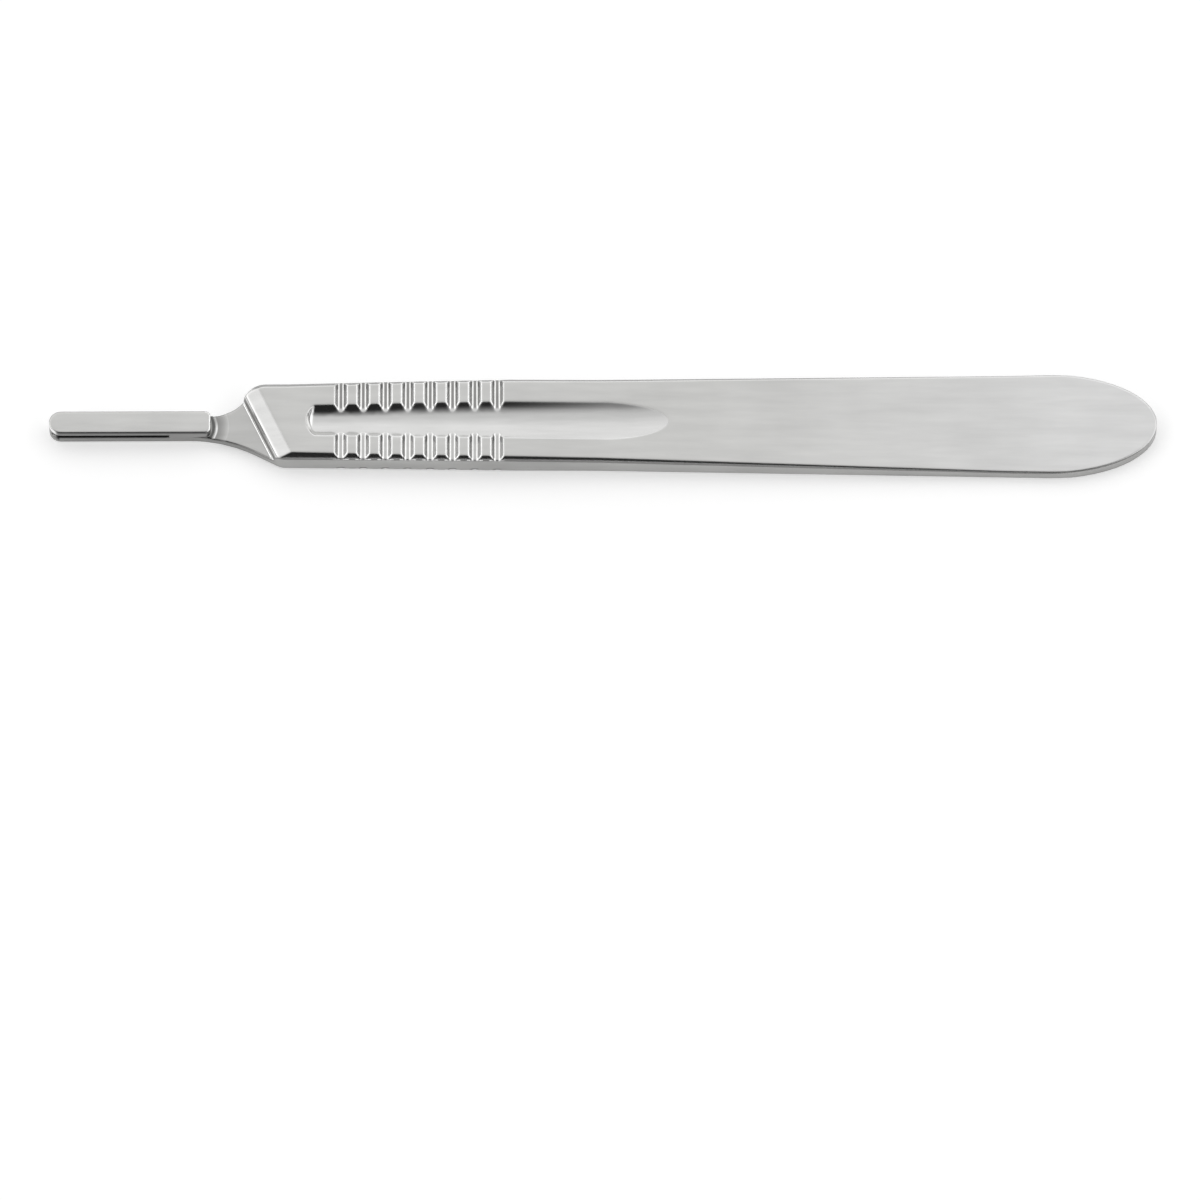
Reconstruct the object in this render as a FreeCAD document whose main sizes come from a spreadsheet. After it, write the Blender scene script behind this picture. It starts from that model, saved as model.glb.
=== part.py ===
"""Scalpel handle for detachable blades, milled from one flat bar of stainless steel.

Frame: millimetres, +Z up. The handle lies on its back face, which is the plane Z = 0. The tongue that
takes the blade points to -X and the rounded rear end to +X. The origin is under the middle of the
handle's overall box. Inside the body, x is measured from the tip of the tongue.
"""

import FreeCAD, Part
import math
import os

import Sketcher

DOCUMENT_NAME = "ScalpelHandle"
HANDLE = "handle"
FAILED_STATES = ("Invalid", "Error")
LEAST_CUT = 1e-6
UP = FreeCAD.Vector(0, 0, 1)
ZERO = "0"

# Sketch numbering: the root point, the two axes, and the points of a piece of geometry

ROOT_POINT = (-1, 1)
HORIZONTAL_AXIS = -1
VERTICAL_AXIS = -2
START, END, CENTRE = range(1, 4)

# Faces of the handle, turns of an outline and angles of turned cuts

FRONT = 1
BACK = -1
LEFT = "left"
RIGHT = "right"
ELLIPSE = "ellipse"
HALF_TURN = 180
QUARTER_TURN = 90
END_TURN = 20

# Driving dimensions, in millimetres and degrees

SIZES = (
    ("length", 125.0),
    ("body_thickness", 3.0),
    ("tail_thickness", 1.4),
    ("shoulder_width", 9.6),
    ("shoulder_lead", 0.3),
    ("bend_width", 10.42),
    ("waist_width", 10.52),
    ("rear_width", 12.6),
    ("rear_end_length", 12.2),
    # Places along the handle, measured from the tip of the tongue
    ("grip_place", 41.0),
    ("bend_place", 52.0),
    ("waist_place", 62.0),
    ("tail_place", 108.0),
    # Chamfers along the long edges, at 45 degrees
    ("front_chamfer_shoulder", 0.61),
    ("front_chamfer_grip", 0.45),
    ("front_chamfer_bend", 0.41),
    ("back_chamfer_shoulder", 0.33),
    ("back_chamfer_bend", 0.31),
    ("tail_chamfer", 0.13),
    # Tongue that the blade slides on
    ("tongue_width", 2.72),
    ("tongue_top", 2.43),
    ("tongue_back", 0.36),
    ("tongue_length", 18.2),
    ("tongue_corner", 0.6),
    ("web_width", 1.6),
    ("groove_height", 0.49),
    ("groove_length", 13.55),
    # Seat for the heel of the blade, and the slanted shoulder behind it
    ("seat_height", 1.25),
    ("seat_fillet", 0.15),
    ("slant_place", 23.3),
    ("slant_angle", 24.6),
    ("riser_top", 2.38),
    ("riser_angle", 76.0),
    ("riser_round", 0.45),
    ("bevel_angle", 19.7),
    # Necks from the tongue out to the full width: steep on +Y, gentle on -Y
    ("steep_place", 18.3),
    ("steep_radius", 4.6),
    ("steep_angle", 55.0),
    ("steep_corner", 2.6),
    ("gentle_place", 16.0),
    ("gentle_radius", 15.1),
    ("gentle_angle", 28.4),
    ("gentle_corner", 2.0),
    # Relief under the tongue, which runs out round a nose on the back face
    ("nose_place", 19.3),
    ("nose_radius", 4.2),
    ("nose_side", 0.8),
    ("ramp_length", 2.2),
    # Shallow dish that the cutter leaves behind the tongue
    ("dish_place", 18.8),
    ("dish_radius", 2.8),
    ("dish_length", 1.5),
    ("dish_depth", 0.12),
    # Thumb troughs, one in each face
    ("front_trough_start", 29.03),
    ("front_trough_end", 70.0),
    ("front_trough_offset", -0.11),
    ("back_trough_start", 28.9),
    ("back_trough_end", 71.0),
    ("trough_start_width", 3.95),
    ("trough_rib_width", 4.1),
    ("trough_grip_width", 4.42),
    ("trough_bend_width", 4.72),
    ("trough_end_width", 4.8),
    ("trough_depth", 0.82),
    ("trough_grip_depth", 0.76),
    ("trough_bend_depth", 0.74),
    ("trough_end_depth", 0.6),
    ("trough_start_lead", 0.24),
    ("trough_rib_run", 6.5),
    ("trough_end_run", 6.8),
    # Grip notches across both ribs beside the trough
    ("notch_width", 1.5),
    ("notch_angle", 41.0),
    ("notch_root", 0.45),
    ("notch_pitch", 2.52),
    ("notch_count", 8),
    ("front_notch_first", 32.93),
    ("back_notch_first", 32.93),
    # Working allowances, which leave no mark on the finished handle
    ("stock", 2.0),
    ("overcut", 0.25),
)


def share(place, first, last):
    """Formula for how far a place lies on the way from one place to another."""
    return f"({place} - {first}) / ({last} - {first})"


def blend(part, first, last):
    """Formula for a value that lies a given share of the way between two others."""
    return f"{first} + {part} * ({last} - {first})"


# Places and sizes that follow from the driving dimensions

HALF_WIDTHS = (
    ("half_shoulder", "Sizes.shoulder_width / 2"),
    ("half_bend", "Sizes.bend_width / 2"),
    ("half_waist", "Sizes.waist_width / 2"),
    ("half_rear", "Sizes.rear_width / 2"),
    ("half_tongue", "Sizes.tongue_width / 2"),
)


def neck_rows(name, side):
    """Formulas of one neck: an arc out of the tongue, a straight flank and a rounded corner."""
    radius = f"Sizes.{name}_radius"
    angle = f"Sizes.{name}_angle"
    corner = f"Sizes.{name}_corner"
    return (
        (f"{name}_arc_x", f"Sizes.{name}_place + {radius} * sin({angle})"),
        (f"{name}_arc_half", f"half_tongue + {radius} * (1 - cos({angle}))"),
        (f"{name}_flank_half", f"half_shoulder - {corner} * (1 - cos({angle}))"),
        (f"{name}_flank_x", f"{name}_arc_x + ({name}_flank_half - {name}_arc_half) / tan({angle})"),
        (f"{name}_corner_x", f"{name}_flank_x + {corner} * sin({angle})"),
        (f"{name}_arc_y", f"{side} * {name}_arc_half"),
        (f"{name}_flank_y", f"{side} * {name}_flank_half"),
    )


BAR_PLACES = (
    ("shoulder_place", "max(steep_corner_x; gentle_corner_x) + Sizes.shoulder_lead"),
    ("rear_place", "Sizes.length - Sizes.rear_end_length"),
    ("grip_share", share("Sizes.grip_place", "shoulder_place", "Sizes.bend_place")),
    ("waist_share", share("Sizes.waist_place", "Sizes.bend_place", "Sizes.tail_place")),
    ("tail_share", share("Sizes.tail_place", "Sizes.waist_place", "rear_place")),
    ("half_grip", blend("grip_share", "half_shoulder", "half_bend")),
    ("half_tail", blend("tail_share", "half_waist", "half_rear")),
    ("taper", "(Sizes.body_thickness - Sizes.tail_thickness) / (Sizes.tail_place - Sizes.bend_place)"),
    ("waist_thickness", "Sizes.body_thickness - taper * (Sizes.waist_place - Sizes.bend_place)"),
    ("front_chamfer_waist", blend("waist_share", "Sizes.front_chamfer_bend", "Sizes.tail_chamfer")),
    ("back_chamfer_grip", blend("grip_share", "Sizes.back_chamfer_shoulder", "Sizes.back_chamfer_bend")),
    ("back_chamfer_waist", blend("waist_share", "Sizes.back_chamfer_bend", "Sizes.tail_chamfer")),
    ("stock_start", "-Sizes.stock"),
    ("stock_end", "Sizes.length + Sizes.stock"),
)

SEAT_PLACES = (
    ("cut_top", "Sizes.body_thickness + Sizes.stock"),
    ("cut_reach", "-(Sizes.slant_place + shoulder_place)"),
    ("riser_run", "(Sizes.riser_top - Sizes.seat_height) / tan(Sizes.riser_angle)"),
    ("fillet_setback", "Sizes.seat_fillet * tan(Sizes.riser_angle / 2)"),
    ("fillet_end", "fillet_setback * cos(Sizes.riser_angle)"),
    ("fillet_top", "Sizes.seat_height + fillet_setback * sin(Sizes.riser_angle)"),
    ("round_setback", "Sizes.riser_round * tan((Sizes.riser_angle - Sizes.bevel_angle) / 2)"),
    ("round_start", "riser_run - round_setback * cos(Sizes.riser_angle)"),
    ("round_low", "Sizes.riser_top - round_setback * sin(Sizes.riser_angle)"),
    ("round_end", "riser_run + round_setback * cos(Sizes.bevel_angle)"),
    ("round_high", "Sizes.riser_top + round_setback * sin(Sizes.bevel_angle)"),
    ("bevel_end", "riser_run + (cut_top - Sizes.riser_top) / tan(Sizes.bevel_angle)"),
)

TONGUE_PLACES = (
    ("tongue_corner_x", "Sizes.tongue_length - Sizes.tongue_corner"),
    ("tongue_corner_y", "half_tongue - Sizes.tongue_corner"),
    ("tongue_rise", "Sizes.tongue_top - Sizes.seat_height"),
    ("half_web", "Sizes.web_width / 2"),
    ("groove_run", "half_tongue - half_web"),
    ("groove_straight", "Sizes.groove_length - groove_run"),
    ("groove_outside", "half_tongue + Sizes.stock"),
)

RELIEF_PLACES = (
    ("nose_centre", "Sizes.nose_place + Sizes.nose_radius"),
    ("ramp_reach", "Sizes.nose_radius + Sizes.ramp_length"),
    ("ramp_radius", "(Sizes.ramp_length^2 + Sizes.tongue_back^2) / (2 * Sizes.tongue_back)"),
    ("relief_reach", "nose_centre + Sizes.stock"),
    ("dish_centre", "Sizes.dish_place - Sizes.dish_radius"),
    ("dish_reach", "Sizes.dish_radius + Sizes.dish_length"),
    ("dish_lid", "Sizes.seat_height + Sizes.overcut"),
    ("dish_bottom", "Sizes.seat_height - Sizes.dish_depth"),
    ("dish_arc", "(Sizes.dish_length^2 + Sizes.dish_depth^2) / (2 * Sizes.dish_depth)"),
)


def segment_rows(name, face, width, depth, side, lid):
    """Formulas of a round-bottomed cut of a given width at the face, with its lid outside the face."""
    outside = f"({depth} + {lid})"
    return (
        (f"{name}_radius", f"(({width})^2 / 4 + {depth}^2) / (2 * {depth})"),
        (f"{name}_centre", f"{face} + {side} * ({name}_radius - {depth})"),
        (f"{name}_chord", f"{face} + {side} * {lid}"),
        (f"{name}_half", f"sqrt(2 * {name}_radius * {outside} - {outside}^2)"),
    )


TROUGH_SECTIONS = ("start", "rib", "grip", "bend", "end")

TROUGH_TURNS = (
    ("start_run", "Sizes.trough_depth + Sizes.trough_start_lead"),
    ("start_turn", "(start_run^2 + Sizes.trough_depth^2) / (2 * Sizes.trough_depth)"),
    ("start_lid", "start_turn - Sizes.trough_depth"),
)


def trough_rows(name, side):
    """Formulas of a trough's sections, of their places and of the axes that its two ends turn about."""
    full = "Sizes.body_thickness" if side == FRONT else "0"
    slope = "taper" if side == FRONT else "0"
    start, end = f"{name}_start", f"{name}_end"
    depths = {section: f"Sizes.trough_{section}_depth" for section in ("grip", "bend", "end")}
    rows = [
        (f"{start}_place", f"Sizes.{name}_trough_start + start_run"),
        (f"{name}_rib_place", f"Sizes.{name}_trough_start + Sizes.trough_rib_run"),
        (f"{end}_place", f"Sizes.{name}_trough_end - Sizes.trough_end_run"),
        (f"{end}_face", f"{full} - {slope} * ({end}_place - Sizes.bend_place)"),
        (f"{end}_rise", f"Sizes.trough_end_depth - {slope} * Sizes.trough_end_run"),
        (f"{end}_turn", f"(Sizes.trough_end_run^2 + {end}_rise^2) / (2 * {end}_rise)"),
        (f"{start}_pivot", f"{full} + {side} * start_lid"),
        (f"{end}_pivot", f"{end}_face + {side} * ({end}_turn - Sizes.trough_end_depth)"),
    ]
    for section in TROUGH_SECTIONS:
        face = f"{end}_face" if section == "end" else full
        depth = depths.get(section, "Sizes.trough_depth")
        lid = "start_lid" if section == "start" else "Sizes.overcut"
        rows.extend(segment_rows(f"{name}_{section}", face, f"Sizes.trough_{section}_width", depth, side, lid))
    return tuple(rows)


NOTCH_PLACES = (
    ("notch_run", "Sizes.notch_pitch * (Sizes.notch_count - 1)"),
    ("notch_half", "Sizes.notch_width / 2"),
    ("notch_depth", "notch_half * tan(Sizes.notch_angle) - Sizes.notch_root * (1 / cos(Sizes.notch_angle) - 1)"),
    ("notch_flank_depth", "notch_depth - Sizes.notch_root * (1 - cos(Sizes.notch_angle))"),
    ("notch_flank_half", "Sizes.notch_root * sin(Sizes.notch_angle)"),
    ("notch_lid_half", "notch_half + Sizes.overcut / tan(Sizes.notch_angle)"),
    ("front_notch_flank", "Sizes.body_thickness - notch_flank_depth"),
    ("front_notch_lid", "Sizes.body_thickness + Sizes.overcut"),
    ("back_notch_flank", "notch_flank_depth"),
    ("back_notch_lid", "-Sizes.overcut"),
)

# Sections of the long chamfers: name, place, half width, thickness, front chamfer and back chamfer

CHAMFER_SECTIONS = (
    ("shoulder", "shoulder_place", "half_shoulder", "Sizes.body_thickness",
     "Sizes.front_chamfer_shoulder", "Sizes.back_chamfer_shoulder"),
    ("grip", "grip_place", "half_grip", "Sizes.body_thickness",
     "Sizes.front_chamfer_grip", "back_chamfer_grip"),
    ("bend", "bend_place", "half_bend", "Sizes.body_thickness",
     "Sizes.front_chamfer_bend", "Sizes.back_chamfer_bend"),
    ("waist", "waist_place", "half_waist", "waist_thickness",
     "front_chamfer_waist", "back_chamfer_waist"),
    ("tail", "tail_place", "half_tail", "Sizes.tail_thickness",
     "Sizes.tail_chamfer", "Sizes.tail_chamfer"),
    ("rear", "rear_place", "half_rear", "Sizes.tail_thickness",
     "Sizes.tail_chamfer", "Sizes.tail_chamfer"),
    ("end", "stock_end", "half_rear", "Sizes.tail_thickness",
     "Sizes.tail_chamfer", "Sizes.tail_chamfer"),
)


def chamfer_rows(name, half, thickness, front, back):
    """Formulas of one section's cuts, which are triangles that reach outside the bar."""
    over = "Sizes.overcut"
    return (
        (f"{name}_chamfer_outer", f"{half} + {over}"),
        (f"front_{name}_chamfer_inner", f"{half} - {front} - {over}"),
        (f"front_{name}_chamfer_face", f"{thickness} + {over}"),
        (f"front_{name}_chamfer_side", f"{thickness} - {front} - {over}"),
        (f"back_{name}_chamfer_inner", f"{half} - {back} - {over}"),
        (f"back_{name}_chamfer_face", f"-{over}"),
        (f"back_{name}_chamfer_side", f"{back} + {over}"),
    )


PLACES = (
    HALF_WIDTHS
    + neck_rows("steep", 1)
    + neck_rows("gentle", -1)
    + BAR_PLACES
    + SEAT_PLACES
    + TONGUE_PLACES
    + RELIEF_PLACES
    + TROUGH_TURNS
    + trough_rows("front", FRONT)
    + trough_rows("back", BACK)
    + NOTCH_PLACES
    + sum((chamfer_rows(row[0], *row[2:]) for row in CHAMFER_SECTIONS), ())
)

doc = FreeCAD.newDocument(DOCUMENT_NAME)


def make_sheet(name, rows, sign):
    """A sheet with a label in column A and a value with an alias in column B."""
    sheet = doc.addObject("Spreadsheet::Sheet", name)
    for line, (alias, content) in enumerate(rows, start=1):
        sheet.set(f"A{line}", alias)
        sheet.set(f"B{line}", f"{sign}{content}")
        sheet.setAlias(f"B{line}", alias)
    doc.recompute()
    return sheet


sizes = make_sheet("Sizes", SIZES, "")
places = make_sheet("Places", PLACES, "=")
size_names = {row[0] for row in SIZES}

body = doc.addObject("PartDesign::Body", HANDLE)
body.Label = HANDLE
body.setExpression("Placement.Base.x", "-Sizes.length / 2")


def amount(name):
    """The number behind the name of a size or place, which may have a minus sign."""
    if name.startswith("-"):
        return -amount(name[1:])
    if name == ZERO:
        return 0.0
    return float(sizes.get(name) if name in size_names else places.get(name))


def cell(name):
    """The expression that reads a size or place, which may have a minus sign."""
    if name.startswith("-"):
        return "-" + cell(name[1:])
    return f"Sizes.{name}" if name in size_names else f"Places.{name}"


def point(corner):
    """A sketch point from the names of its two coordinates."""
    return FreeCAD.Vector(amount(corner[0]), amount(corner[1]), 0)


def new_sketch(name, role, along="", across="", turn=""):
    """A sketch on one of the body's origin planes, moved along its normal and its level direction."""
    sketch = body.newObject("Sketcher::SketchObject", name)
    sketch.AttachmentSupport = [(next(f for f in body.Origin.OriginFeatures if f.Role == role), "")]
    sketch.MapMode = "FlatFace"
    if turn:
        sketch.AttachmentOffset = FreeCAD.Placement(
            FreeCAD.Vector(), FreeCAD.Rotation(FreeCAD.Vector(0, 1, 0), amount(turn))
        )
        sketch.setExpression("AttachmentOffset.Rotation.Angle", cell(turn))
    if along:
        sketch.setExpression("AttachmentOffset.Base.z", cell(along))
    if across:
        sketch.setExpression("AttachmentOffset.Base.x", cell(across))
    return sketch


def bind(sketch, constraint, name):
    """Adds a dimension and ties it to a size or place."""
    index = sketch.addConstraint(constraint)
    sketch.setExpression(f"Constraints[{index}]", cell(name))


def fix(sketch, kind, geometry, position, name):
    """Holds one coordinate of a point at a size or place."""
    if name == ZERO:
        axis = VERTICAL_AXIS if kind == "DistanceX" else HORIZONTAL_AXIS
        sketch.addConstraint(Sketcher.Constraint("PointOnObject", geometry, position, axis))
    else:
        bind(sketch, Sketcher.Constraint(kind, *ROOT_POINT, geometry, position, amount(name)), name)


def arc_between(first, last, radius, turn):
    """The shorter arc from one point to another, turning left or right."""
    chord = last - first
    across = FreeCAD.Vector(-chord.y, chord.x, 0).normalize()
    height = math.sqrt(max(radius ** 2 - (chord.Length / 2) ** 2, 0.0))
    centre = (first + last) / 2 + across * (height if turn == LEFT else -height)
    begin, finish = (first, last) if turn == LEFT else (last, first)
    return Part.ArcOfCircle(
        Part.Circle(centre, UP, radius),
        math.atan2(begin.y - centre.y, begin.x - centre.x),
        math.atan2(finish.y - centre.y, finish.x - centre.x),
    )


def add_half_ellipse(sketch, centre, tip, half_width):
    """Half of an ellipse about a centre on the level axis, with its tip further along that axis."""
    middle = FreeCAD.Vector(amount(centre), 0, 0)
    reach = amount(tip) - amount(centre)
    ellipse = Part.Ellipse(middle, reach, amount(half_width))
    arc = sketch.addGeometry(Part.ArcOfEllipse(ellipse, -math.pi / 2, math.pi / 2), False)
    sketch.exposeInternalGeometry(arc)
    axis = arc + 1
    tip_end = START if sketch.Geometry[axis].StartPoint.x > middle.x else END
    fix(sketch, "DistanceX", arc, CENTRE, centre)
    fix(sketch, "DistanceY", arc, CENTRE, ZERO)
    fix(sketch, "DistanceX", axis, tip_end, tip)
    fix(sketch, "DistanceY", axis, tip_end, ZERO)
    return arc


def trace(sketch, steps, closed=True):
    """An outline or a path. A step is a corner, with the radius and turn of the arc that leads on from it."""
    ends = []
    free = set()
    for number, step in enumerate(steps if closed else steps[:-1]):
        following = (number + 1) % len(steps)
        first = point(step[0])
        last = point(steps[following][0])
        if len(step) == 1:
            geometry = sketch.addGeometry(Part.LineSegment(first, last), False)
            ends.append((geometry, START, END))
        elif step[1] == ELLIPSE:
            geometry = add_half_ellipse(sketch, step[0][0], step[2], steps[following][0][1])
            ends.append((geometry, START, END))
            free.add(following)
        else:
            radius, turn = step[1:]
            geometry = sketch.addGeometry(arc_between(first, last, amount(radius), turn), False)
            ends.append((geometry, START, END) if turn == LEFT else (geometry, END, START))
            bind(sketch, Sketcher.Constraint("Radius", geometry, amount(radius)), radius)
    for number, (geometry, begin, finish) in enumerate(ends):
        if closed or number + 1 < len(ends):
            following = ends[(number + 1) % len(ends)]
            sketch.addConstraint(Sketcher.Constraint("Coincident", geometry, finish, *following[:2]))
        else:
            fix(sketch, "DistanceX", geometry, finish, steps[-1][0][0])
            fix(sketch, "DistanceY", geometry, finish, steps[-1][0][1])
        fix(sketch, "DistanceX", geometry, begin, steps[number][0][0])
        if number not in free:
            fix(sketch, "DistanceY", geometry, begin, steps[number][0][1])
    return sketch


def add_segment(sketch, name, across, side):
    """The section of a round-bottomed cut: an arc that dips into the face and a line outside it."""
    middle = amount(across)
    half = amount(f"{name}_half")
    rise = amount(f"{name}_chord") - amount(f"{name}_centre")
    centre = FreeCAD.Vector(middle, amount(f"{name}_centre"), 0)
    left_angle = math.atan2(rise, -half)
    right_angle = math.atan2(rise, half)
    angles = (left_angle, right_angle) if side == FRONT else (right_angle, left_angle)
    left_end, right_end = (START, END) if side == FRONT else (END, START)
    circle = Part.Circle(centre, UP, amount(f"{name}_radius"))
    arc = sketch.addGeometry(Part.ArcOfCircle(circle, *angles), False)
    left_corner = FreeCAD.Vector(middle - half, amount(f"{name}_chord"), 0)
    right_corner = FreeCAD.Vector(middle + half, amount(f"{name}_chord"), 0)
    line = sketch.addGeometry(Part.LineSegment(left_corner, right_corner), False)
    sketch.addConstraint(Sketcher.Constraint("Coincident", arc, left_end, line, START))
    sketch.addConstraint(Sketcher.Constraint("Coincident", arc, right_end, line, END))
    sketch.addConstraint(Sketcher.Constraint("Horizontal", line))
    fix(sketch, "DistanceX", arc, CENTRE, across)
    fix(sketch, "DistanceY", arc, CENTRE, f"{name}_centre")
    fix(sketch, "DistanceY", line, START, f"{name}_chord")
    bind(sketch, Sketcher.Constraint("Radius", arc, amount(f"{name}_radius")), f"{name}_radius")
    return sketch


def add_pivot(sketch, height):
    """A level construction line, about which a section is turned."""
    half = "half_tongue"
    first = FreeCAD.Vector(-amount(half), amount(height), 0)
    last = FreeCAD.Vector(amount(half), amount(height), 0)
    line = sketch.addGeometry(Part.LineSegment(first, last), True)
    fix(sketch, "DistanceX", line, START, f"-{half}")
    fix(sketch, "DistanceX", line, END, half)
    fix(sketch, "DistanceY", line, START, height)
    fix(sketch, "DistanceY", line, END, height)


def settle(feature):
    """Rebuilds up to a new feature, stops at a failure and makes the feature the body's tip."""
    doc.recompute()
    if failed(feature) or feature.Shape.isNull():
        raise RuntimeError(f"{feature.Name} failed: {feature.State}")
    body.Tip = feature
    return feature


def failed(item):
    """Whether an object of the document is in a failed state."""
    return any(state in FAILED_STATES for state in item.State)


def settle_cut(feature, base=None):
    """Settles a cut and checks that it took material away from the feature before it."""
    before = (base or feature.BaseFeature).Shape.Volume
    settle(feature)
    if before - feature.Shape.Volume < LEAST_CUT:
        raise RuntimeError(f"{feature.Name} cuts nothing")
    return feature


def cut_through(name, sketch):
    """Cuts a sketch through the whole body, both ways."""
    cut = body.newObject("PartDesign::Pocket", name)
    cut.Profile = sketch
    cut.Type = "ThroughAll"
    cut.SideType = "Symmetric"
    return settle_cut(cut)


def turn_cut(name, sketch, axis, angle, both=False, reverse=False):
    """Cuts a sketch turned about an axis."""
    cut = body.newObject("PartDesign::Groove", name)
    cut.Profile = sketch
    cut.ReferenceAxis = (sketch, [axis])
    cut.Angle = angle
    cut.Midplane = both
    cut.Reversed = reverse
    return settle_cut(cut)


def make_bar():
    """The flat bar in the handle's outline, thinner towards the rear, with chamfered long edges."""
    bar = body.newObject("PartDesign::Pad", "bar")
    bar.Profile = trace(new_sketch("outline", "XY_Plane"), (
        (("half_tongue", "half_tongue"), "half_tongue", LEFT),
        ((ZERO, ZERO), "half_tongue", LEFT),
        (("half_tongue", "-half_tongue"),),
        (("gentle_place", "-half_tongue"), "gentle_radius", RIGHT),
        (("gentle_arc_x", "gentle_arc_y"),),
        (("gentle_flank_x", "gentle_flank_y"), "gentle_corner", LEFT),
        (("gentle_corner_x", "-half_shoulder"),),
        (("shoulder_place", "-half_shoulder"),),
        (("bend_place", "-half_bend"),),
        (("waist_place", "-half_waist"),),
        (("rear_place", "-half_rear"), ELLIPSE, "length"),
        (("rear_place", "half_rear"),),
        (("waist_place", "half_waist"),),
        (("bend_place", "half_bend"),),
        (("shoulder_place", "half_shoulder"),),
        (("steep_corner_x", "half_shoulder"), "steep_corner", LEFT),
        (("steep_flank_x", "steep_flank_y"),),
        (("steep_arc_x", "steep_arc_y"), "steep_radius", RIGHT),
        (("steep_place", "half_tongue"),),
    ))
    bar.setExpression("Length", cell("body_thickness"))
    settle(bar)
    cut_through("taper_cut", trace(new_sketch("taper_profile", "XZ_Plane"), (
        (("bend_place", "body_thickness"),),
        (("tail_place", "tail_thickness"),),
        (("stock_end", "tail_thickness"),),
        (("stock_end", "cut_top"),),
        (("bend_place", "cut_top"),),
    )))
    for face, level in (("front", "body_thickness"), ("back", "")):
        cut_chamfer(face, level, "steep", "", LEFT, RIGHT)
        cut_chamfer(face, level, "gentle", "-", RIGHT, LEFT)


def cut_chamfer(face, level, neck, sign, corner_turn, neck_turn):
    """One long chamfer, which narrows towards the rear and follows the outline round to the neck."""
    sections = []
    for name, place, *_ in CHAMFER_SECTIONS:
        sections.append(trace(new_sketch(f"{face}_{neck}_{name}", "YZ_Plane", along=place), (
            ((f"{sign}{face}_{name}_chamfer_inner", f"{face}_{name}_chamfer_face"),),
            ((f"{sign}{name}_chamfer_outer", f"{face}_{name}_chamfer_face"),),
            ((f"{sign}{name}_chamfer_outer", f"{face}_{name}_chamfer_side"),),
        )))
    chamfer = body.newObject("PartDesign::SubtractiveLoft", f"{face}_{neck}_chamfer")
    chamfer.Profile = sections[0]
    chamfer.Sections = sections[1:]
    chamfer.Ruled = True
    settle_cut(chamfer)
    corner = body.newObject("PartDesign::SubtractivePipe", f"{face}_{neck}_corner_chamfer")
    corner.Profile = sections[0]
    corner.Spine = (trace(new_sketch(f"{face}_{neck}_path", "XY_Plane", along=level), (
        (("shoulder_place", f"{sign}half_shoulder"),),
        ((f"{neck}_corner_x", f"{sign}half_shoulder"), f"{neck}_corner", corner_turn),
        ((f"{neck}_flank_x", f"{neck}_flank_y"),),
        ((f"{neck}_arc_x", f"{neck}_arc_y"), f"{neck}_radius", neck_turn),
        ((f"{neck}_place", f"{sign}half_tongue"),),
    ), closed=False), [])
    settle_cut(corner)


def cut_seat():
    """Lowers the front for the blade, back to the slanted shoulder with its riser and bevel."""
    sketch = new_sketch("seat_profile", "XZ_Plane", across="slant_place", turn="slant_angle")
    cut_through("seat_cut", trace(sketch, (
        (("cut_reach", "seat_height"),),
        (("-fillet_setback", "seat_height"), "seat_fillet", LEFT),
        (("fillet_end", "fillet_top"),),
        (("round_start", "round_low"), "riser_round", RIGHT),
        (("round_end", "round_high"),),
        (("bevel_end", "cut_top"),),
        (("cut_reach", "cut_top"),),
    )))


def add_tongue():
    """The tongue's upper part, on which the blade's slot slides, with a groove down each side."""
    tongue = body.newObject("PartDesign::Pad", "tongue")
    tongue.Profile = trace(new_sketch("tongue_outline", "XY_Plane", along="seat_height"), (
        (("half_tongue", "half_tongue"), "half_tongue", LEFT),
        ((ZERO, ZERO), "half_tongue", LEFT),
        (("half_tongue", "-half_tongue"),),
        (("tongue_corner_x", "-half_tongue"), "tongue_corner", LEFT),
        (("tongue_length", "-tongue_corner_y"),),
        (("tongue_length", "tongue_corner_y"), "tongue_corner", LEFT),
        (("tongue_corner_x", "half_tongue"),),
    ))
    tongue.setExpression("Length", cell("tongue_rise"))
    settle(tongue)

    for name, sign, turn in (("left", "-", RIGHT), ("right", "", LEFT)):
        groove = body.newObject("PartDesign::Pocket", f"{name}_groove")
        groove.Profile = trace(new_sketch(f"{name}_groove_outline", "XY_Plane", along="seat_height"), (
            (("stock_start", f"{sign}half_web"),),
            (("groove_straight", f"{sign}half_web"), "groove_run", turn),
            (("groove_length", f"{sign}half_tongue"),),
            (("groove_length", f"{sign}groove_outside"),),
            (("stock_start", f"{sign}groove_outside"),),
        ))
        groove.Reversed = True
        groove.setExpression("Length", cell("groove_height"))
        settle_cut(groove)


def cut_reliefs():
    """The ramp under the tongue, and the shallow dish that the cutter leaves behind it."""
    ramp = new_sketch("ramp_profile", "XZ_Plane", along="-nose_side", across="nose_centre")
    turn_cut("ramp_cut", trace(ramp, (
        (("-nose_radius", ZERO), "ramp_radius", LEFT),
        (("-ramp_reach", "tongue_back"),),
        (("-relief_reach", "tongue_back"),),
        (("-relief_reach", "-stock"),),
        (("-nose_radius", "-stock"),),
    )), "V_Axis", HALF_TURN, both=True)

    dish = new_sketch("dish_profile", "XZ_Plane", across="dish_centre")
    turn_cut("dish_cut", trace(dish, (
        (("dish_radius", "dish_lid"),),
        (("dish_radius", "dish_bottom"), "dish_arc", LEFT),
        (("dish_reach", "seat_height"),),
        (("dish_reach", "dish_lid"),),
    )), "V_Axis", QUARTER_TURN, both=True)


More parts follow.
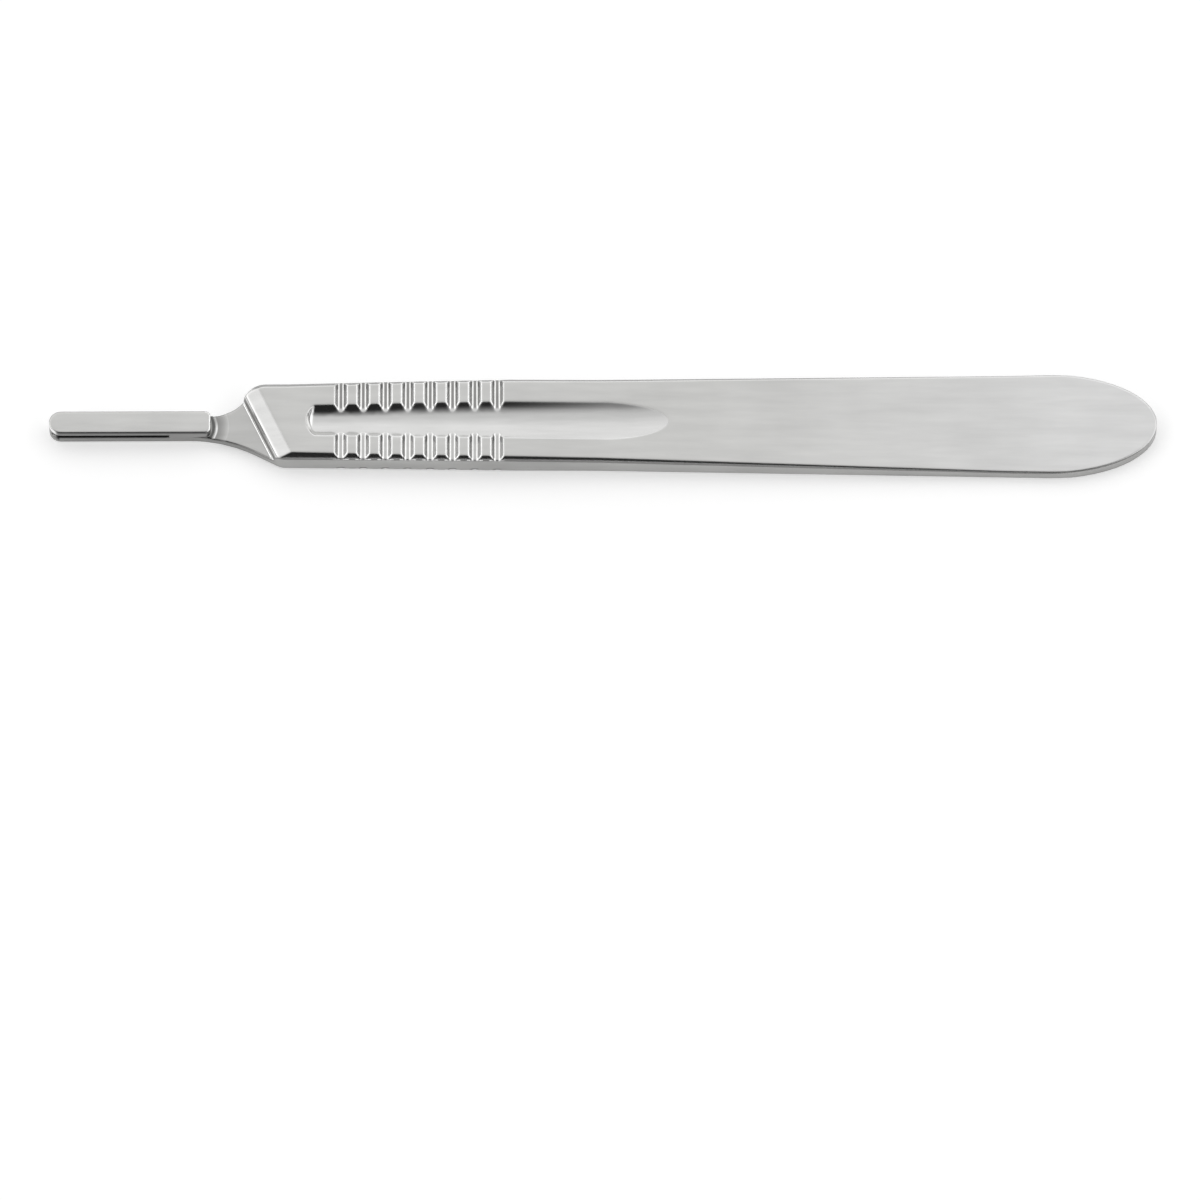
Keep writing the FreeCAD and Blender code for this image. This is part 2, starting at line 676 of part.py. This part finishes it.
def cut_trough(name, side):
    """A thumb trough: a lofted run with a blunt start and a long end that rises out of the face."""
    middle = "front_trough_offset" if side == FRONT else ZERO
    sections = []
    for section in TROUGH_SECTIONS:
        label = f"{name}_{section}"
        place = f"{label}_place" if section in ("start", "rib", "end") else f"{section}_place"
        sketch = new_sketch(f"{label}_section", "YZ_Plane", along=place)
        add_segment(sketch, label, middle, side)
        if section in ("start", "end"):
            add_pivot(sketch, f"{label}_pivot")
        sections.append(sketch)
    run = body.newObject("PartDesign::SubtractiveLoft", f"{name}_trough")
    run.Profile = sections[0]
    run.Sections = sections[1:]
    run.Ruled = True
    settle_cut(run)
    turn_cut(f"{name}_trough_start_cut", sections[0], "Axis0", QUARTER_TURN, reverse=side == BACK)
    turn_cut(f"{name}_trough_end_cut", sections[-1], "Axis0", END_TURN, reverse=side == FRONT)


def cut_notches(name, side):
    """The row of grip notches across one face, with straight flanks and a rounded root."""
    sketch = new_sketch(f"{name}_notch_profile", "XZ_Plane", across=f"{name}_notch_first")
    notch = cut_through(f"{name}_notch_cut", trace(sketch, (
        (("-notch_lid_half", f"{name}_notch_lid"),),
        (("-notch_flank_half", f"{name}_notch_flank"), "notch_root", LEFT if side == FRONT else RIGHT),
        (("notch_flank_half", f"{name}_notch_flank"),),
        (("notch_lid_half", f"{name}_notch_lid"),),
    )))
    row = body.newObject("PartDesign::LinearPattern", f"{name}_notch_row")
    row.Originals = [notch]
    row.Direction = (next(f for f in body.Origin.OriginFeatures if f.Role == "X_Axis"), [""])
    row.setExpression("Length", cell("notch_run"))
    row.setExpression("Occurrences", cell("notch_count"))
    settle_cut(row, base=notch)


make_bar()
cut_seat()
add_tongue()
cut_reliefs()
cut_trough("front", FRONT)
cut_trough("back", BACK)
cut_notches("front", FRONT)
cut_notches("back", BACK)
doc.recompute()

broken = [item.Name for item in doc.Objects if failed(item)]
if broken:
    raise RuntimeError(f"failed objects: {broken}")
shape = body.Shape
if shape.isNull() or not shape.isValid() or len(shape.Solids) != 1:
    raise RuntimeError("the handle is not one valid solid")

os.makedirs("parts", exist_ok=True)
shape.exportStep(f"parts/{body.Label}.step")
print(f"{body.Label}: {shape.Volume:.1f} mm3, {len(shape.Faces)} faces")
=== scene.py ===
"""Looks of the scalpel handle: brushed stainless steel on a white table under soft studio light.

The handle lies on the table, which is the plane Z = 0, its tongue points to -X, and the camera looks down at
it from the -Y side. The scene is in metres; the places in the steel's finish are in millimetres.
"""

import math

import bpy
from mathutils import Matrix, Vector

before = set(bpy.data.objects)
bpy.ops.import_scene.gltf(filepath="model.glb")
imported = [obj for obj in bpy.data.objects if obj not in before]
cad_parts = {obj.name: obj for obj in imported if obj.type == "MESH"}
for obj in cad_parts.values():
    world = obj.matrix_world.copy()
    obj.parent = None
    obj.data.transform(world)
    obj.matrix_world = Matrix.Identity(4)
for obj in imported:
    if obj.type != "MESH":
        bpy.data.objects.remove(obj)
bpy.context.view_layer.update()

MILLIMETRE = 0.001

# The camera's place, from the photograph

PHOTO_SIDE = 1200
PIXELS_PER_MILLIMETRE = 8.856
CAMERA_ELEVATION = math.radians(62.0)
CAMERA_ROLL = math.radians(0.17)
CAMERA_DISTANCE = 2.04
SENSOR_WIDTH = 36.0
FRAME_WIDTH = PHOTO_SIDE / PIXELS_PER_MILLIMETRE * MILLIMETRE
AIM = Vector((-0.4, -21.62, 0.0)) * MILLIMETRE
HANDLE_DISTANCE = CAMERA_DISTANCE - AIM.y * math.cos(CAMERA_ELEVATION)

# Where a finish starts and stops. Two values are the start and the end of a soft change. Of three, the
# finish lies between the first two and fades out beyond each of them over the third.

# Places along the handle, from the middle of its length

TIP_ROUNDING = (-61.9, -61.4)
GROOVE_END = (-48.9, -48.88)
TONGUE_END = (-44.9, -44.1, 0.1)
RIM_END = (-44.2, -44.0)
FILLET_LENGTH = (-42.5, -37.0, 1.0)
NECK_END = (-41.0, -35.0)
SEAT_END = (-37.0, -36.0)
BEND_TO_TAIL = (-10.5, 45.5)
REAR_CHANGE = (12.0, 58.0)

# The grip notches, by the places of their middles, and distances from a notch's middle

NOTCH_FIRST = -29.57
NOTCH_LAST = -11.93
NOTCH_PITCH = 2.52
# Painted shade lines along the notches' middles and flanks and at the back notches' tops, and painted
# highlights on the notches' edges
NOTCH_SHADE_HALF = (0.10, 0.22)
FLANK_SHADE_LINE = (0.40, 0.48, 0.07)
LEFT_FLANK = (-0.35, -0.25)
BACK_NOTCH_HALF = (0.30, 0.45)
NOTCH_REACH = (0.85, 0.95)

# Places across the handle, from its middle; the trough's edge is from the trough's own middle

TROUGH_MIDDLE = -0.11
TROUGH_EDGE = (1.5, 1.9)
NEAR_TO_FAR_RIB = (-1.0, 1.0)
NEAR_TO_FAR_RING = (-0.3, 0.9)
GROOVE_WIDTH = (0.79, 1.34, 0.01)
BESIDE_TROUGH = (3.2, 3.6)
FAR_EDGE = (3.6, 4.0)

# Heights above the table

BODY_THICKNESS = 3.0
TAIL_THICKNESS = 1.4
BACK_NOTCH_TOP = (0.48, 0.62, 0.05)
GROOVE_HEIGHT = (0.76, 1.25, 0.01)
FILLET_HEIGHT = (1.252, 1.52, 0.02)
SEAT_HEIGHT = (1.5, 1.7)
RISER_HEIGHT = (1.55, 1.85, 0.1)
TIP_EDGE = (1.75, 1.95)
RIM_HEIGHT = (2.00, 2.12)

# Depths below the nearer of the two faces

FACE_DEPTH = (0.01, 0.03)
FLANK_TOP = (0.05, 0.10)
NOTCH_SHADE_TOP = (0.36, 0.42)
NOTCH_PAINT_BOTTOM = (0.55, 0.62)

# The rings of shade and highlight painted on the seat round the tongue's end: their centre, the plane they
# lie in, and their radii

RING_CENTRE = (-46.5, 0.0, 0.0)
IN_PLAN = (1.0, 1.0, 0.0)
NARROW_SHADE_RING = (2.46, 2.68, 0.10)
HIGHLIGHT_RING = (2.88, 2.98, 0.10)
WIDE_SHADE_RING = (3.0, 4.5)

# Parts of the surface's normal

UPRIGHT = (0.25, 0.40)
LOWER_BEVEL = (-0.85, -0.45, 0.1)
LEVEL = (0.985, 0.995)
FACING_BACK = (0.50, 0.62)
FACING_TIP = (-0.75, -0.55)
FACING_SEAT = (-0.30, -0.10)
FACING_UP = (0.05, 0.15)
FACING_SIDE = (0.6, 0.8)
EDGE_TURN = (0.93, 0.99)
BACKWARD_TURN = (0.08, 0.20)
WALL_TOP_TURN = (0.10, 0.58, 0.05)

# The steel's finish, with shade and highlights painted into its colour

FACE_COLOUR = (0.625, 0.624, 0.612, 1.0)
REAR_COLOUR = (0.738, 0.738, 0.735, 1.0)
SMOOTH_COLOUR = (0.70, 0.699, 0.692, 1.0)
TONGUE_COLOUR = (0.62, 0.619, 0.608, 1.0)
SEAT_COLOUR = (0.53, 0.529, 0.520, 1.0)
# Painted shade: the darker colours below stand for shade and dark reflections on the walls, far edge, riser,
# rim, groove, notches and seat
WALL_SHADE_COLOUR = (0.44, 0.439, 0.432, 1.0)
NECK_SHADE_COLOUR = (0.30, 0.299, 0.294, 1.0)
NOTCH_SHADE_COLOUR = (0.30, 0.298, 0.292, 1.0)
FAR_EDGE_SHADE_COLOUR = (0.26, 0.259, 0.255, 1.0)
RISER_SHADE_COLOUR = (0.20, 0.199, 0.196, 1.0)
DEEP_SHADE_COLOUR = (0.13, 0.13, 0.128, 1.0)
DARKEST_SHADE_COLOUR = (0.05, 0.05, 0.05, 1.0)
# Painted highlight: the near-white that stands for light caught on edges, fillets and a ring on the seat
HIGHLIGHT_COLOUR = (0.98, 0.98, 0.975, 1.0)
# How strongly painted shade and painted highlights show: on the near rib's notches, the seat's near and far
# ring, the far edge and the tongue's end
NEAR_NOTCH_SHADE_SHARE = 0.35
NEAR_RING_SHARE = 0.75
FAR_RING_SHARE = 0.25
FAR_LINE_SHARE = 0.5
TONGUE_END_SHARE = 0.7
GROUND_ROUGHNESS = 0.34
SMOOTH_ROUGHNESS = 0.14
EDGE_RADIUS = 0.42
EDGE_SAMPLES = 16
CORNER_REACH = 0.5
CORNER_SAMPLES = 8
CORNER_OPENNESS = (0.35, 0.90)
CORNER_SHADE = 0.65

# The steel's grain: its scales are per metre along, across and up, and its relief's height in millimetres

SCRATCH_SCALE = (60.0, 2600.0, 2600.0)
SCRATCH_DETAIL = 3.0
STREAK_SCALE = (130.0, 1100.0, 1100.0)
STREAK_DETAIL = 4.0
STREAK_STRENGTH = 0.045
CLOUD_SCALE = (110.0, 110.0, 110.0)
CLOUD_DETAIL = 3.0
CLOUD_STRENGTH = 0.04
NOISE_RANGE = (0.3, 0.7)
RELIEF_STRENGTH = 0.06
RELIEF_HEIGHT = 0.02

# The studio, whose light is given by the direction that it comes from

TABLE_SIDE = 6.0
TABLE_COLOUR = (0.78, 0.78, 0.78, 1.0)
TABLE_GLOW = 0.43
WHITE = (1.0, 1.0, 1.0, 1.0)
OVERHEAD_DEPTH = (-0.50, 0.08)
DARK_LEVEL = 0.02
OVERHEAD_LEVEL = 0.77
DARK_SIDE = (0.35, 0.60)
DARK_HEIGHT = (0.26, 0.36)
FRONT_DEPTH = (-0.45, -0.15)
FRONT_LEVEL = 0.65
WALL_DEPTH = (0.15, 0.70)
WALL_LEVEL = 0.25
GAP_SIDE = (0.40, 0.70)
GAP_HEIGHT = (0.22, 0.40)
GAP_DARKNESS = 0.7
BOX_SIDE = (0.42, 0.80)
BOX_HEIGHT = (0.25, 0.45)
BOX_DEPTH = (-0.80, -0.30)
BOX_LEVEL = 0.85
HORIZON = (0.06, 0.14)


class Nodes:
    """A short way to build a node tree."""

    def __init__(self, owner):
        owner.use_nodes = True
        self.tree = owner.node_tree
        self.tree.nodes.clear()

    def add(self, kind, inputs=None, **settings):
        """A node with its settings and its inputs, which are values or other nodes' sockets."""
        node = self.tree.nodes.new(kind)
        for name, value in settings.items():
            setattr(node, name, value)
        for name, value in (inputs or {}).items():
            if isinstance(value, bpy.types.NodeSocket):
                self.tree.links.new(value, node.inputs[name])
            else:
                node.inputs[name].default_value = value
        return node

    def maths(self, operation, *values):
        """The result of a Math node."""
        return self.add("ShaderNodeMath", dict(enumerate(values)), operation=operation).outputs[0]

    def vector(self, operation, first, second, output="Vector"):
        """The result of a Vector Math node."""
        return self.add("ShaderNodeVectorMath", {0: first, 1: second}, operation=operation).outputs[output]

    def split(self, vector):
        """The three parts of a vector."""
        return self.add("ShaderNodeSeparateXYZ", {"Vector": vector}).outputs

    def noise(self, place, scale, detail):
        """Soft noise that is stretched by its scale along each axis."""
        inputs = {"Vector": self.vector("MULTIPLY", place, scale), "Scale": 1.0, "Detail": detail}
        return self.add("ShaderNodeTexNoise", inputs).outputs[0]

    def ramp(self, value, span, first=0.0, last=1.0, shape="SMOOTHSTEP"):
        """A value carried from one range to another."""
        low, high = span
        inputs = {"Value": value, "From Min": low, "From Max": high, "To Min": first, "To Max": last}
        return self.add("ShaderNodeMapRange", inputs, interpolation_type=shape).outputs[0]

    def fall(self, value, span):
        """One below a range, nothing above it, and a soft change inside it."""
        return self.ramp(value, span, 1.0, 0.0)

    def band(self, value, span):
        """One inside a range and nothing outside it, with a soft change at each end."""
        low, high, fade = span
        return self.product(self.ramp(value, (low - fade, low)), self.fall(value, (high, high + fade)))

    def product(self, *shares):
        """Several shares multiplied together."""
        total = shares[0]
        for part in shares[1:]:
            total = self.maths("MULTIPLY", total, part)
        return total

    def most(self, *shares):
        """The largest of several shares."""
        largest = shares[0]
        for part in shares[1:]:
            largest = self.maths("MAXIMUM", largest, part)
        return largest

    def mix(self, share, first, second):
        """A colour that lies a share of the way between two others."""
        return self.add("ShaderNodeMix", {0: share, 6: first, 7: second}, data_type="RGBA").outputs[2]


class Spot:
    """The shaded point: its place in millimetres, its depth below the nearer face, its normal as the mesh
    has it and as rounded edges would have it, and the shares that several finishes need."""

    def __init__(self, nodes):
        self.place = nodes.add("ShaderNodeTexCoord").outputs["Object"]
        self.measured = nodes.vector("DIVIDE", self.place, (MILLIMETRE,) * 3)
        self.along, self.across, self.height = nodes.split(self.measured)
        self.out = nodes.maths("ABSOLUTE", self.across)
        face = nodes.ramp(self.along, BEND_TO_TAIL, BODY_THICKNESS, TAIL_THICKNESS, "LINEAR")
        self.depth = nodes.maths("MINIMUM", self.height, nodes.maths("SUBTRACT", face, self.height))
        self.normal = nodes.add("ShaderNodeNewGeometry").outputs["Normal"]
        self.lengthwise, self.sideways, self.upwards = nodes.split(self.normal)
        radius = EDGE_RADIUS * MILLIMETRE
        self.rounded = nodes.add("ShaderNodeBevel", {"Radius": radius}, samples=EDGE_SAMPLES).outputs[0]
        self.rounded_sideways, self.rounded_upwards = nodes.split(self.rounded)[1:3]
        self.upright = nodes.fall(nodes.maths("ABSOLUTE", self.upwards), UPRIGHT)
        self.ground = nodes.fall(self.depth, FACE_DEPTH)
        self.front = nodes.fall(self.along, SEAT_END)


def make_steel():
    """Stainless steel: ground faces with a fine lengthwise grain, and smoother recesses and edges."""
    material = bpy.data.materials.new("brushed steel")
    nodes = Nodes(material)
    spot = Spot(nodes)
    shade, relief = grain(nodes, spot)
    plain = steel_colour(nodes, spot)
    colour = nodes.add("ShaderNodeVectorMath", {0: plain, "Scale": shade}, operation="SCALE").outputs[0]
    rough = nodes.most(spot.ground, spot.upright)
    roughness = nodes.ramp(rough, (0.0, 1.0), SMOOTH_ROUGHNESS, GROUND_ROUGHNESS)
    bump = nodes.add("ShaderNodeBump", {
        "Height": relief, "Strength": RELIEF_STRENGTH,
        "Distance": RELIEF_HEIGHT * MILLIMETRE, "Normal": spot.rounded,
    })
    shader = nodes.add("ShaderNodeBsdfPrincipled", {
        "Base Color": colour, "Metallic": 1.0,
        "Roughness": roughness, "Normal": bump.outputs[0],
    })
    nodes.add("ShaderNodeOutputMaterial", {"Surface": shader.outputs[0]})
    return material


def steel_colour(nodes, spot):
    """The steel's colour: ground or smooth, with shade and highlights painted on at its walls, edges,
    notches, seat and tongue.
    """
    colour = wall_colour(nodes, spot, face_colour(nodes, spot))
    notch_line_shade, notches, back_top_shade = notch_shares(nodes, spot)
    # Painted highlights on the notches' edges, the tongue's end and tip, the fillet and the far edge
    colour = nodes.mix(highlight_share(nodes, spot, notches), colour, HIGHLIGHT_COLOUR)
    # Painted shade: dark lines along the notches' flanks, and a dark line along each notch's middle
    colour = nodes.mix(notch_line_shade, colour, NOTCH_SHADE_COLOUR)
    # Painted shade at the back notches' tops, where they open in the side wall
    colour = nodes.mix(back_top_shade, colour, DARKEST_SHADE_COLOUR)
    return tongue_lines(nodes, spot, colour)


def face_colour(nodes, spot):
    """The colour of the ground faces, the tongue's top and the seat, and of everything smoother."""
    rear = nodes.ramp(spot.along, REAR_CHANGE, shape="LINEAR")
    colour = nodes.mix(spot.ground, SMOOTH_COLOUR, nodes.mix(rear, FACE_COLOUR, REAR_COLOUR))
    level = nodes.product(nodes.ramp(spot.upwards, LEVEL), spot.front)
    low = nodes.fall(spot.height, SEAT_HEIGHT)
    return nodes.mix(level, colour, nodes.mix(low, TONGUE_COLOUR, seat_colour(nodes, spot)))


def wall_colour(nodes, spot, colour):
    """A colour with shade painted on the side walls, the lower bevel, the far edge, the walls' tops and the
    shoulder's riser.
    """
    # Painted shade: the side walls and the lower bevel are darkened, most along the tongue's neck
    away = nodes.most(nodes.ramp(spot.out, BESIDE_TROUGH), nodes.fall(spot.along, NECK_END))
    lower_bevel_shade = nodes.product(nodes.band(spot.upwards, LOWER_BEVEL), away)
    walls = nodes.mix(nodes.fall(spot.along, NECK_END), WALL_SHADE_COLOUR, NECK_SHADE_COLOUR)
    colour = nodes.mix(nodes.most(spot.upright, lower_bevel_shade), colour, walls)
    # Painted shade: a dark line along the far edge
    far_edge_shade = nodes.product(nodes.ramp(spot.sideways, FACING_BACK), nodes.ramp(spot.across, FAR_EDGE))
    colour = nodes.mix(far_edge_shade, colour, FAR_EDGE_SHADE_COLOUR)
    # Painted shade along the walls' tops, where their rounded edges turn sideways
    wall_top_shade = nodes.product(nodes.ramp(nodes.maths("ABSOLUTE", spot.rounded_sideways), FACING_SIDE),
                             nodes.band(spot.rounded_upwards, WALL_TOP_TURN))
    colour = nodes.mix(wall_top_shade, colour, RISER_SHADE_COLOUR)
    # Painted shade on the shoulder's riser
    riser = nodes.product(nodes.fall(spot.lengthwise, FACING_TIP), spot.front, spot.upright,
                          nodes.band(spot.height, RISER_HEIGHT))
    return nodes.mix(riser, colour, RISER_SHADE_COLOUR)


def seat_colour(nodes, spot):
    """The seat's colour, with rings of painted shade and a ring of painted highlight round the tongue's end.
    """
    from_centre = nodes.vector("SUBTRACT", spot.measured, RING_CENTRE)
    level = nodes.vector("MULTIPLY", from_centre, IN_PLAN)
    distance = nodes.add("ShaderNodeVectorMath", {0: level}, operation="LENGTH").outputs["Value"]
    colour = nodes.mix(nodes.fall(distance, WIDE_SHADE_RING), SEAT_COLOUR, NECK_SHADE_COLOUR)
    strength = nodes.ramp(spot.across, NEAR_TO_FAR_RING, NEAR_RING_SHARE, FAR_RING_SHARE)
    colour = nodes.mix(nodes.product(nodes.band(distance, HIGHLIGHT_RING), strength), colour, HIGHLIGHT_COLOUR)
    return nodes.mix(nodes.band(distance, NARROW_SHADE_RING), colour, DEEP_SHADE_COLOUR)


def notch_shares(nodes, spot):
    """How much a point belongs to the dark lines in the grip notches, which are shade painted along their
    flanks and a dark line along each notch's middle, to the notches, and to the shade painted at the tops of
    the back notches where they open in the side wall."""
    from_first = nodes.maths("SUBTRACT", spot.along, NOTCH_FIRST)
    from_middle = nodes.maths("WRAP", from_first, NOTCH_PITCH / 2, -NOTCH_PITCH / 2)
    aside = nodes.maths("ABSOLUTE", from_middle)
    row = nodes.product(nodes.ramp(spot.along, (NOTCH_FIRST - NOTCH_PITCH / 2, NOTCH_FIRST)),
                        nodes.fall(spot.along, (NOTCH_LAST, NOTCH_LAST + NOTCH_PITCH / 2)))
    from_trough = nodes.maths("ABSOLUTE", nodes.maths("SUBTRACT", spot.across, TROUGH_MIDDLE))
    outside = nodes.ramp(from_trough, TROUGH_EDGE)
    inside = nodes.fall(spot.depth, NOTCH_PAINT_BOTTOM)
    line = nodes.product(nodes.fall(aside, NOTCH_SHADE_HALF), nodes.ramp(spot.depth, NOTCH_SHADE_TOP))
    flank = nodes.product(nodes.band(aside, FLANK_SHADE_LINE), nodes.ramp(spot.depth, FLANK_TOP))
    strength = nodes.most(nodes.ramp(spot.across, NEAR_TO_FAR_RIB, NEAR_NOTCH_SHADE_SHARE, 1.0),
                          nodes.fall(from_middle, LEFT_FLANK))
    notch_line_shade = nodes.product(nodes.most(line, flank), inside, outside, row, strength)
    notches = nodes.product(nodes.fall(aside, NOTCH_REACH), inside, row)
    back_top_shade = nodes.product(nodes.fall(aside, BACK_NOTCH_HALF), row, spot.upright,
                              nodes.band(spot.height, BACK_NOTCH_TOP))
    return notch_line_shade, notches, back_top_shade


def highlight_share(nodes, spot, notches):
    """How much a point gets a painted highlight, on an edge or a fillet where the light would catch."""
    turned = nodes.fall(nodes.vector("DOT_PRODUCT", spot.rounded, spot.normal, "Value"), EDGE_TURN)
    tongue_end = nodes.product(nodes.band(spot.along, TONGUE_END), nodes.ramp(spot.height, SEAT_HEIGHT),
                               TONGUE_END_SHARE)
    edges = nodes.product(turned, nodes.most(notches, tongue_end))
    tip = nodes.product(spot.upright, nodes.fall(spot.along, TIP_ROUNDING), nodes.ramp(spot.height, TIP_EDGE))
    fillet = nodes.product(nodes.fall(spot.lengthwise, FACING_SEAT), nodes.ramp(spot.upwards, FACING_UP),
                           nodes.band(spot.along, FILLET_LENGTH), nodes.band(spot.height, FILLET_HEIGHT))
    far_line = nodes.product(nodes.ramp(spot.rounded_sideways, BACKWARD_TURN, 0.0, FAR_LINE_SHARE),
                             spot.ground)
    return nodes.most(edges, tip, fillet, far_line)


def tongue_lines(nodes, spot, colour):
    """A colour with shade painted in the tongue's side grooves and along the rim above them."""
    beyond_tip = nodes.ramp(spot.along, TIP_ROUNDING)
    beside = nodes.ramp(nodes.maths("ABSOLUTE", spot.sideways), FACING_SIDE)
    # Painted shade along the rim above the grooves, and in the grooves below it
    rim = nodes.product(spot.upright, beyond_tip, beside, nodes.ramp(spot.height, RIM_HEIGHT),
                        nodes.fall(spot.along, RIM_END))
    colour = nodes.mix(rim, colour, DEEP_SHADE_COLOUR)
    groove = nodes.product(nodes.band(spot.out, GROOVE_WIDTH), nodes.band(spot.height, GROOVE_HEIGHT),
                           beyond_tip, nodes.fall(spot.along, GROOVE_END))
    return nodes.mix(groove, colour, DARKEST_SHADE_COLOUR)


def grain(nodes, spot):
    """The steel's soft streaks and patches, with shade painted into its corners, as a scale on its colour,
    and its fine relief.
    """
    scratches = nodes.noise(spot.place, SCRATCH_SCALE, SCRATCH_DETAIL)
    streaks = nodes.noise(spot.place, STREAK_SCALE, STREAK_DETAIL)
    cloud = nodes.noise(spot.place, CLOUD_SCALE, CLOUD_DETAIL)
    shades = nodes.maths("ADD",
                         nodes.ramp(streaks, NOISE_RANGE, -STREAK_STRENGTH, STREAK_STRENGTH, "LINEAR"),
                         nodes.ramp(cloud, NOISE_RANGE, -CLOUD_STRENGTH, CLOUD_STRENGTH, "LINEAR"))
    # Painted shade: the colour darkens where the steel is closed in, in corners and recesses
    openness = nodes.add("ShaderNodeAmbientOcclusion", {"Distance": CORNER_REACH * MILLIMETRE},
                         samples=CORNER_SAMPLES, only_local=True).outputs["AO"]
    corners = nodes.ramp(openness, CORNER_OPENNESS, CORNER_SHADE, 1.0)
    return nodes.product(corners, nodes.maths("ADD", shades, 1.0)), nodes.maths("ADD", scratches, cloud)


def dress_handle(material):
    """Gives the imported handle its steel."""
    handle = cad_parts["handle"]
    handle.data.materials.clear()
    handle.data.materials.append(material)


def make_table():
    """The white table, which is white to the camera and keeps the handle's shadow."""
    half = TABLE_SIDE / 2
    mesh = bpy.data.meshes.new("table")
    corners = [(-half, -half, 0), (half, -half, 0), (half, half, 0), (-half, half, 0)]
    mesh.from_pydata(corners, [], [(0, 1, 2, 3)])
    table = bpy.data.objects.new("table", mesh)
    bpy.context.scene.collection.objects.link(table)
    material = bpy.data.materials.new("table")
    nodes = Nodes(material)
    cloth = nodes.add("ShaderNodeBsdfDiffuse", {"Color": TABLE_COLOUR})
    rays = nodes.add("ShaderNodeLightPath").outputs
    seen = nodes.most(rays["Is Camera Ray"], rays["Is Glossy Ray"], rays["Is Transmission Ray"])
    strength = nodes.product(seen, TABLE_GLOW)
    glow = nodes.add("ShaderNodeEmission", {"Color": WHITE, "Strength": strength})
    surface = nodes.add("ShaderNodeAddShader", {0: cloth.outputs[0], 1: glow.outputs[0]})
    nodes.add("ShaderNodeOutputMaterial", {"Surface": surface.outputs[0]})
    mesh.materials.append(material)


def make_world():
    """The room: overhead light, the wall at the back, a dark panel in the middle of the front with paler
    room round it, boxes of light left and right with dim gaps below them, and the white horizon."""
    world = bpy.data.worlds.new("room")
    bpy.context.scene.world = world
    nodes = Nodes(world)
    across, ahead, height = nodes.split(nodes.add("ShaderNodeTexCoord").outputs["Generated"])
    sideways = nodes.maths("ABSOLUTE", across)
    round_panel = nodes.most(nodes.ramp(sideways, DARK_SIDE), nodes.fall(height, DARK_HEIGHT))
    front = nodes.product(nodes.fall(ahead, FRONT_DEPTH), round_panel, FRONT_LEVEL)
    overhead = nodes.most(nodes.ramp(ahead, OVERHEAD_DEPTH, DARK_LEVEL, OVERHEAD_LEVEL), front)
    wall = nodes.ramp(ahead, WALL_DEPTH, 0.0, WALL_LEVEL, "LINEAR")
    gaps = nodes.product(nodes.ramp(sideways, GAP_SIDE), nodes.ramp(height, GAP_HEIGHT, GAP_DARKNESS, 0.0),
                         nodes.ramp(ahead, FRONT_DEPTH))
    room = nodes.product(nodes.maths("ADD", overhead, wall), nodes.maths("SUBTRACT", 1.0, gaps))
    boxes = nodes.product(nodes.ramp(sideways, BOX_SIDE), nodes.ramp(height, BOX_HEIGHT, 0.0, BOX_LEVEL),
                          nodes.ramp(ahead, BOX_DEPTH))
    horizon = nodes.fall(nodes.maths("ABSOLUTE", height), HORIZON)
    strength = nodes.most(nodes.maths("ADD", room, boxes), horizon)
    background = nodes.add("ShaderNodeBackground", {"Color": WHITE, "Strength": strength})
    nodes.add("ShaderNodeOutputWorld", {"Surface": background.outputs[0]})


def make_camera():
    """A long lens at the photograph's angle."""
    data = bpy.data.cameras.new("camera")
    data.sensor_width = SENSOR_WIDTH
    data.lens = SENSOR_WIDTH * HANDLE_DISTANCE / FRAME_WIDTH
    data.clip_end = 2 * TABLE_SIDE
    camera = bpy.data.objects.new("camera", data)
    bpy.context.scene.collection.objects.link(camera)
    towards = Vector((0.0, -math.cos(CAMERA_ELEVATION), math.sin(CAMERA_ELEVATION)))
    turn = towards.to_track_quat("Z", "Y").to_matrix() @ Matrix.Rotation(-CAMERA_ROLL, 3, "Z")
    camera.matrix_world = Matrix.Translation(AIM + towards * CAMERA_DISTANCE) @ turn.to_4x4()
    bpy.context.scene.camera = camera


dress_handle(make_steel())
make_table()
make_world()
make_camera()
bpy.context.scene.view_settings.view_transform = "Standard"
